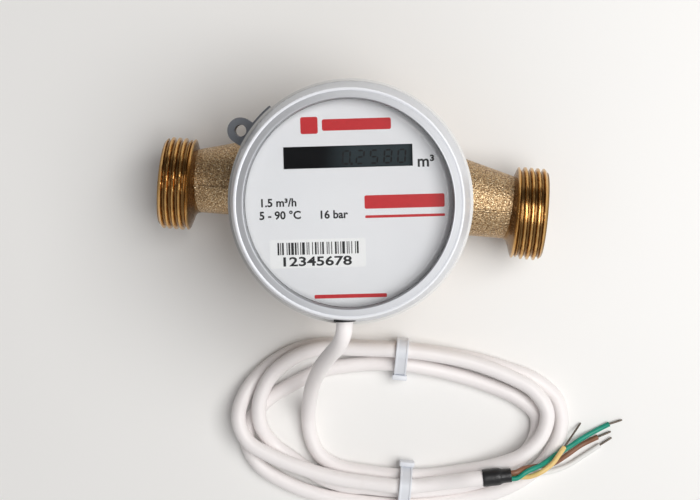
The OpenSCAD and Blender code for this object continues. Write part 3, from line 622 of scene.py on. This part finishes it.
# Painted shade: the rim's inner edge and inner wall by the clear cover are darkened, as the shadow in the
# gap there.
lens_gap_shade = (1 - ring_skin.step(ring_radius, rim_inner, rim_outer)) * above_cut
ring_tone = ring_skin.blend(ring_cloud, tone(218, 220, 225), tone(230, 232, 236))
ring_tone = ring_skin.blend(lens_gap_shade * 0.7, ring_tone, tone(84, 86, 91))
silver_plastic = ring_skin.close(
    {
        "Base Color": ring_skin.blend(ledge_highlight * 0.35, ring_tone, tone(246, 247, 249)),
        "Metallic": 0.3,
        "Roughness": ring_fine * 0.1 + 0.37,
    },
    relief=ring_fine,
    depth=0.012 * mm,
)

ring_mesh = copy_of("register_cover")
wall_edges = cut_off(ring_mesh, (0, 0, ring_cut), (0, 0, 1))
turns = [math.tau * k / ring_sides for k in range(ring_sides)]
hoops = skin(
    ring_mesh,
    [[Vector((r * math.cos(a), r * math.sin(a), z)) * mm for a in turns] for r, z in ring_profile],
)
for hoop, outside in ((hoops[0], True), (hoops[-1], False)):
    meeting = [edge for edge in wall_edges if (edge.verts[0].co.xy.length > ring_middle) == outside]
    meeting += [ring_mesh.edges.get(pair) for pair in zip(hoop, hoop[1:] + hoop[:1])]
    bmesh.ops.bridge_loops(ring_mesh, edges=meeting)
fit("cover_ring", ring_mesh, [silver_plastic], "register", ["register_cover"])


# The signal cable is four cores in one round off-white PVC sheath. It leaves the register through a soft
# bush, hangs down to the table, and lies there in three loose turns.

cable_width = 4.4 * mm
cable_sides = 24
cable_spacing = 1.2 * mm
bush_end = 31.3 * mm
cable_route = [
    (1.1, -24.2, 56.2), (1.4, -31.4, 56.2), (1.3, -35, 55.3), (0.2, -38.4, 52), (-1.8, -41.8, 46.2),
    (-3.8, -45.4, 38.6), (-5.6, -50, 28), (-7.2, -55.6, 17.4), (-8, -61.6, 8.6), (-8, -67.4, 3.6),
    (-6.9, -72.8, 2.3), (-4, -77.8, 2.3), (2, -81, 2.3), (12, -82, 2.6), (22.5, -82, 3.5),
    (31, -81, 2.7), (40, -78.8, 3.4), (48, -76.2, 5.2), (56.2, -72, 6.7), (61.4, -65.8, 6.7),
    (62.4, -58.4, 6.7), (57.8, -52.3, 6.7), (50, -48.7, 6.7), (40, -45.8, 6.8), (30, -44.4, 7.2),
    (18, -43.8, 7.9), (6, -44.5, 6.9), (-6.5, -45.4, 6.7), (-13.6, -48.7, 6.7), (-20, -54.8, 6.8),
    (-22.8, -62.4, 6.8), (-22.2, -69.4, 6.2), (-18.4, -75.6, 2.6), (-10.5, -80.6, 2.3), (-3, -84.8, 2.3),
    (4, -86.6, 2.3), (12, -86.6, 2.6), (22.5, -86.4, 3.5), (31, -85.4, 2.7), (40, -83.4, 2.3),
    (48, -80.2, 2.3), (55.6, -74.4, 2.3), (60, -67.4, 2.3), (60, -60.6, 2.3), (54.4, -55.9, 2.3),
    (43, -52.1, 2.3), (30.5, -49.6, 2.7), (18, -48.4, 3.5), (6, -49.7, 2.4), (-5, -52.4, 2.3),
    (-13, -57, 2.3), (-20.4, -62.4, 2.3), (-25, -68.8, 2.3), (-25.9, -76, 2.3), (-21.6, -82.8, 2.3),
    (-13, -87.4, 2.3), (-3, -90.2, 2.3), (4, -91, 2.3), (12, -91.2, 2.6), (22.5, -90.8, 3.5),
    (31, -89.8, 2.7), (40, -87.8, 2.3), (49, -84.8, 2.3), (57.6, -79.8, 2.3), (64.6, -72.2, 2.3),
    (67.4, -63.2, 2.3), (65.4, -55, 2.3), (58.6, -49.8, 2.3), (50, -47.2, 2.3), (40, -45.2, 2.3),
    (30, -44.2, 2.7), (18, -43.8, 3.5), (6, -44.4, 2.5), (-6.5, -45, 2.3), (-15, -48, 2.3),
    (-22.6, -54, 2.4), (-27.6, -61.4, 4.4), (-28.7, -68.6, 6.8), (-25.4, -75, 6.9), (-18.5, -78.6, 6.9),
    (-9.5, -81.4, 6.9), (1, -83.6, 6.8), (12, -84.3, 6.9), (22.5, -84.2, 7.5), (33, -82.2, 7.8),
    (41.2, -80, 9.6), (45.2, -79.2, 9.6),
]


def smooth_line(route, spacing):
    """A smooth curve through points in millimetres, as points in metres about so far apart."""
    least_gap = 1e-9
    knots = [Vector(point) * mm for point in route]
    knots = [knots[0] * 2 - knots[1]] + knots + [knots[-1] * 2 - knots[-2]]
    line = []
    for before, start, end, after in zip(knots, knots[1:], knots[2:], knots[3:]):
        steps = max(1, round((end - start).length / spacing))
        pairs = ((before, start), (start, end), (end, after))
        gaps = [max(least_gap, (b - a).length ** 0.5) for a, b in pairs]
        leave = (start - before) / gaps[0] - (end - before) / (gaps[0] + gaps[1]) + (end - start) / gaps[1]
        reach = (end - start) / gaps[1] - (after - start) / (gaps[1] + gaps[2]) + (after - end) / gaps[2]
        leave, reach = leave * gaps[1], reach * gaps[1]
        for k in range(steps):
            u = k / steps
            line.append(
                start * (2 * u ** 3 - 3 * u ** 2 + 1) + leave * (u ** 3 - 2 * u ** 2 + u)
                + end * (3 * u ** 2 - 2 * u ** 3) + reach * (u ** 3 - u ** 2)
            )
    return line + [knots[-2]]


def length_of(line):
    """The length along a line of points."""
    return sum((b - a).length for a, b in zip(line, line[1:]))


def tube(bm, line, radii, sides):
    """Sweeps a round section along a line, without twist, and closes its ends."""
    ahead = [(b - a).normalized() for a, b in zip(line[:1] + line[:-1], line[1:2] + line[1:])]
    ahead[1:-1] = [(c - a).normalized() for a, c in zip(line, line[2:])]
    side = ahead[0].orthogonal().normalized()
    turns = [math.tau * k / sides for k in range(sides)]
    rings = []
    for place, heading, radius in zip(line, ahead, radii):
        side = (side - heading * side.dot(heading)).normalized()
        over = heading.cross(side)
        rings.append([place + (side * math.cos(a) + over * math.sin(a)) * radius for a in turns])
    rows = skin(bm, rings)
    bm.faces.new(rows[0])
    bm.faces.new(rows[-1])


sheath = Finish(bpy.data.materials.new("off_white_sheath"))
sheath_cloud = sheath.grain(70, detail=3)
sheath_fine = sheath.grain(2600, detail=3)
grime = sheath.step(sheath.grain(240, detail=4), 0.56, 0.78)
sheath_tone = sheath.blend(sheath_cloud, tone(245, 239, 238), tone(251, 247, 246))
cable_sheath = sheath.close(
    {
        "Base Color": sheath.blend(grime * 0.1, sheath_tone, tone(206, 196, 190)),
        "Roughness": sheath_fine * 0.14 + 0.36,
    },
    relief=sheath_fine,
    depth=0.02 * mm,
)

cable_line = smooth_line(cable_route, cable_spacing)
cable_mesh = bmesh.new()
tube(cable_mesh, cable_line, [cable_width / 2] * len(cable_line), cable_sides)
cable_solids = ["signal_cable_drop", "signal_cable_loops"]
cable = fit("signal_cable", cable_mesh, [cable_sheath], None, cable_solids, crease=60)
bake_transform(cable)

bush = copy_of("cable_grommet")
slot_way = register_turn @ Vector((0, -1, 0))
bush_rim = cut_off(bush, slot_way * bush_end, slot_way)
bmesh.ops.bridge_loops(bush, edges=bush_rim)
bush_rubber = moulded("bush_rubber", tone(26, 26, 28), tone(42, 42, 44), rough=0.6)
fit("soft_bush", bush, [bush_rubber], "register", ["cable_grommet"])


# Two nylon ties hold the turns together where they lie side by side. Each is a flat strap with raised
# edges, pulled round the strands through the pawl of its own low head and cut off flush.

strap_width = 3.6 * mm
strap_thick = 0.9 * mm
strap_gap = 0.35 * mm
strap_lip = 0.5 * mm
strap_corner = 0.15 * mm
lip_slope = 0.1 * mm
lip_drop = 0.18 * mm
strap_rows = 90
head_width = 4.5 * mm
head_length = 3.9 * mm
head_high = 1.5 * mm
head_round = 0.35 * mm
head_sunk = 0.7

tie_nylon = moulded(
    "tie_nylon", tone(222, 226, 233), tone(238, 240, 245), rough=0.34, per_metre=500, depth=0.015 * mm
)


def block(bm, low, high, rounding):
    """A box between two corners with its edges rounded off."""
    size = Vector(high) - Vector(low)
    made = bmesh.ops.create_cube(bm, size=1)
    bmesh.ops.scale(bm, vec=size, verts=made["verts"])
    bmesh.ops.translate(bm, vec=(Vector(high) + Vector(low)) / 2, verts=made["verts"])
    edges = list({edge for vert in made["verts"] for edge in vert.link_edges})
    bmesh.ops.bevel(bm, geom=edges, offset=rounding, segments=3, profile=0.5, affect="EDGES")


def cable_tie(name, node, x, strands, held, way):
    """A strap round the strands at x, in millimetres, with its head beside the strand that is held."""
    centres = [Vector((y, z)) * mm for y, z in strands]
    inner = cable_width / 2 + strap_gap
    half = strap_width / 2
    section = [
        (half, 0.0), (half, strap_thick - strap_corner), (half - strap_corner, strap_thick),
        (half - strap_lip, strap_thick), (half - strap_lip - lip_slope, strap_thick - lip_drop),
    ]
    section = [(-off, rise) for off, rise in section] + section[::-1]
    rings = []
    for k in range(strap_rows):
        turn = math.tau * k / strap_rows
        outward = Vector((math.cos(turn), math.sin(turn)))
        hold = max(centres, key=lambda centre: centre.dot(outward))
        rings.append([(x * mm + off, *(hold + outward * (inner + rise))) for off, rise in section])
    bm = bmesh.new()
    skin(bm, rings, loop=True)
    strand = centres[held]
    foot = strand.x + way * (inner + strap_thick * head_sunk)
    face_y = foot + way * head_high
    block(
        bm,
        (x * mm - head_width / 2, min(foot, face_y), strand.y - head_length / 2),
        (x * mm + head_width / 2, max(foot, face_y), strand.y + head_length / 2),
        head_round,
    )
    return fit(name, bm, [tie_nylon], "body", [node], crease=30)


ties = [
    cable_tie("tie_near_body", "upper_tie", 18, [(-43.8, 3.5), (-43.8, 7.9), (-48.4, 3.5)], held=2, way=-1),
    cable_tie("tie_far_side", "lower_tie", 22.5, [(-82, 3.5), (-90.8, 3.5), (-84.2, 7.5)], held=0, way=1),
]


# A short length of black shrink tube closes the sheath's end. It has drawn down in a step over the four
# cores, with faint folds where it shrank.

sleeve_from = Vector((45.2, -79.2, 9.6)) * mm
sleeve_to = Vector((53.2, -77.6, 9.6)) * mm
sleeve_axis = (sleeve_to - sleeve_from).normalized()
sleeve_sides = 40
rings_apart = 0.0001 * mm
sleeve_profile = [
    (-0.2, 2.3), (-0.2, 2.52), (0.0, 2.58), (0.8, 2.61), (2.2, 2.57), (3.4, 2.6), (4.3, 2.57), (4.8, 2.5),
    (5.15, 2.34), (5.5, 2.18), (5.9, 2.1), (6.6, 2.08), (7.4, 2.07), (8.0, 2.07), (8.2, 2.04), (8.25, 1.9),
]

shrink = Finish(bpy.data.materials.new("shrink_tube"))
shrink_fine = shrink.grain(1500, detail=3)
folds = shrink.grain(380, stretch=(1, 3, 3))
shrink_tube = shrink.close(
    {
        "Base Color": shrink.blend(folds, tone(16, 16, 17), tone(34, 34, 36)),
        "Roughness": shrink_fine * 0.16 + 0.3,
    },
    relief=folds * 0.8 + shrink_fine * 0.3,
    depth=0.12 * mm,
)

sleeve_mesh = bmesh.new()
tube(
    sleeve_mesh,
    [sleeve_from + sleeve_axis * (s * mm + rings_apart * k) for k, (s, r) in enumerate(sleeve_profile)],
    [r * mm for s, r in sleeve_profile],
    sleeve_sides,
)
sleeve = fit("shrink_sleeve", sleeve_mesh, [shrink_tube], "body", ["end_sleeve"], crease=40)
length_of(cable_line)


# Four thin leads come out of the sleeve, each a stranded core in a coloured skin that is stripped back
# at the end. They fan out over each other and come to rest on the table.

lead_width = 1.5 * mm
core_width = 0.6 * mm
lead_sides = 16
lead_spacing = 0.6 * mm
lead_inside = 3.0
lead_offset = 0.9
lead_straight = 1.6
sleeve_mouth = 0.05
core_shares = (0.0, 0.3, 0.6, 0.9, 0.985, 1.0)
core_radii = [core_width * part for part in (0.5, 0.5, 0.5, 0.5, 0.4, 0.3)]
upward = Vector((0, 0, 1))
sleeve_side = upward.cross(sleeve_axis)


def lead_skin(name, deep, pale):
    """The coloured skin of one lead."""
    return moulded(name, deep, pale, rough=0.4, per_metre=1100, depth=0.015 * mm)


tinned = Finish(bpy.data.materials.new("stranded_core"))
strand_lay = tinned.grain(5200, stretch=(1, 0.4, 1))
tinned_core = tinned.close(
    {
        "Base Color": tinned.blend(strand_lay, tone(58, 48, 42), tone(150, 138, 126)),
        "Metallic": 0.9,
        "Roughness": strand_lay * 0.2 + 0.28,
    },
    relief=strand_lay,
    depth=0.08 * mm,
)
dress("wire_cores", tinned_core)

for colour, side, up, route, core_end, finish in (
    (
        "brown", 1, 1,
        [(56.6, -75.4, 9.4), (59.4, -74.9, 7.8), (65.4, -74.1, 5), (69.6, -71.7, 2.6), (74.3, -68.2, 0.9),
         (78.9, -65.4, 0.9)],
        (82.6, -63.4, 0.9),
        lead_skin("brown_skin", tone(120, 78, 54), tone(150, 104, 78)),
    ),
    (
        "green", -1, 1,
        [(57.7, -76, 10.2), (61.8, -74.1, 8.4), (66.2, -71.3, 5.3), (70.4, -68.5, 3.8), (74.8, -65.6, 1.8),
         (79.3, -62.8, 0.9), (81.9, -61.2, 0.9)],
        (85.6, -59.6, 0.9),
        lead_skin("green_skin", tone(2, 128, 106), tone(14, 160, 134)),
    ),
    (
        "yellow", -1, -1,
        [(58.9, -77.6, 9), (61.9, -76, 9.4), (64, -74.4, 8.8), (65.5, -72.8, 8.6), (66.8, -70.8, 7.9),
         (68.5, -68.8, 5.4)],
        (73.4, -61.7, 0.6),
        lead_skin("yellow_skin", tone(226, 190, 112), tone(242, 211, 142)),
    ),
    (
        "white", 1, -1,
        [(57.6, -76.8, 7.2), (61.8, -77, 5.4), (66.4, -76.4, 2.8), (70.7, -74.8, 1.2), (74.7, -71.8, 0.9),
         (79.7, -67.8, 0.9)],
        (83, -65.2, 0.9),
        lead_skin("white_skin", tone(226, 225, 222), tone(240, 239, 237)),
    ),
):
    root = sleeve_to / mm + sleeve_axis * sleeve_mouth
    root += sleeve_side * side * lead_offset + upward * up * lead_offset
    inside, outside = root - sleeve_axis * lead_inside, root + sleeve_axis * lead_straight
    skin_line = smooth_line([inside, root, outside] + route, lead_spacing)
    reach = Vector(core_end) * mm - skin_line[-1]
    core_line = [skin_line[-1] + reach * share for share in core_shares]
    lead_mesh = bmesh.new()
    tube(lead_mesh, skin_line, [lead_width / 2] * len(skin_line), lead_sides)
    skin_faces = len(lead_mesh.faces)
    tube(lead_mesh, core_line, core_radii, lead_sides)
    lead_mesh.faces.ensure_lookup_table()
    for part in lead_mesh.faces[skin_faces:]:
        part.material_index = 1
    wire = "wire_" + colour
    finishes = [finish, tinned_core]
    lead = fit("lead_" + colour, lead_mesh, finishes, "body", [wire, "wire_cores"], crease=50)
    lead_path = skin_line + core_line[1:]
    tuple(root * mm)
    length_of(lead_path)


# The meter lies on a pale table under one large soft lamp at the right of the camera, in a pale room.
# The camera looks straight down on the face.

table = Finish(bpy.data.materials.new("pale_table"))
table_cloud = table.grain(3)
pale_table = table.close(
    {
        "Base Color": table.blend(table_cloud, tone(243, 242, 240), tone(247, 246, 244)),
        "Roughness": table_cloud * 0.08 + 0.34,
    }
)
floor_mesh = bmesh.new()
bmesh.ops.create_grid(floor_mesh, x_segments=2, y_segments=2, size=3)
floor_data = bpy.data.meshes.new("table_top")
floor_mesh.to_mesh(floor_data)
floor_mesh.free()
floor_data.materials.append(pale_table)
floor = bpy.data.objects.new("table_top", floor_data)
bpy.context.scene.collection.objects.link(floor)

room = Finish(bpy.data.worlds.new("room"))
to_right, to_back, to_top = (room.axis(name, "Generated") for name in "XYZ")
walls = room.blend(room.step(to_right, -0.8, 0.1), tone(98, 97, 97), tone(240, 239, 238))
above = room.blend(room.step(to_back, -0.7, 0.2), tone(184, 184, 185), tone(90, 88, 88))
sky = room.blend(room.step(abs(to_top), 0.15, 0.4), walls, above)
light = room.node("ShaderNodeBackground", {}, {"Color": sky, "Strength": 1.0})
room.node("ShaderNodeOutputWorld", {}, {"Surface": light})
bpy.context.scene.world = room.owner

lamp_place = Vector((0.5, 0.1, 1.05))
lamp_target = Vector((0.0, 0.0, 0.03))
softbox = bpy.data.lights.new("overhead", "AREA")
softbox.shape = "RECTANGLE"
softbox.size, softbox.size_y = 0.85, 0.8
softbox.energy = 11.3
softbox.color = (1.0, 0.995, 0.985)
lamp = bpy.data.objects.new("overhead", softbox)
lamp.location = lamp_place
lamp.rotation_euler = (lamp_target - lamp_place).to_track_quat("-Z", "Y").to_euler()
bpy.context.scene.collection.objects.link(lamp)

eye = bpy.data.cameras.new("camera")
eye.sensor_fit = "HORIZONTAL"
eye.sensor_width = 36
eye.lens = 79.87
eye.clip_start = 0.01
eye.clip_end = 20
camera = bpy.data.objects.new("camera", eye)
camera.location = (0.00994, 0.01305, 0.4645)
camera.rotation_euler = [math.radians(angle) for angle in (-3.454, 1.532, 4.897)]
bpy.context.scene.collection.objects.link(camera)
bpy.context.scene.camera = camera
bpy.context.scene.view_settings.view_transform = "Standard"
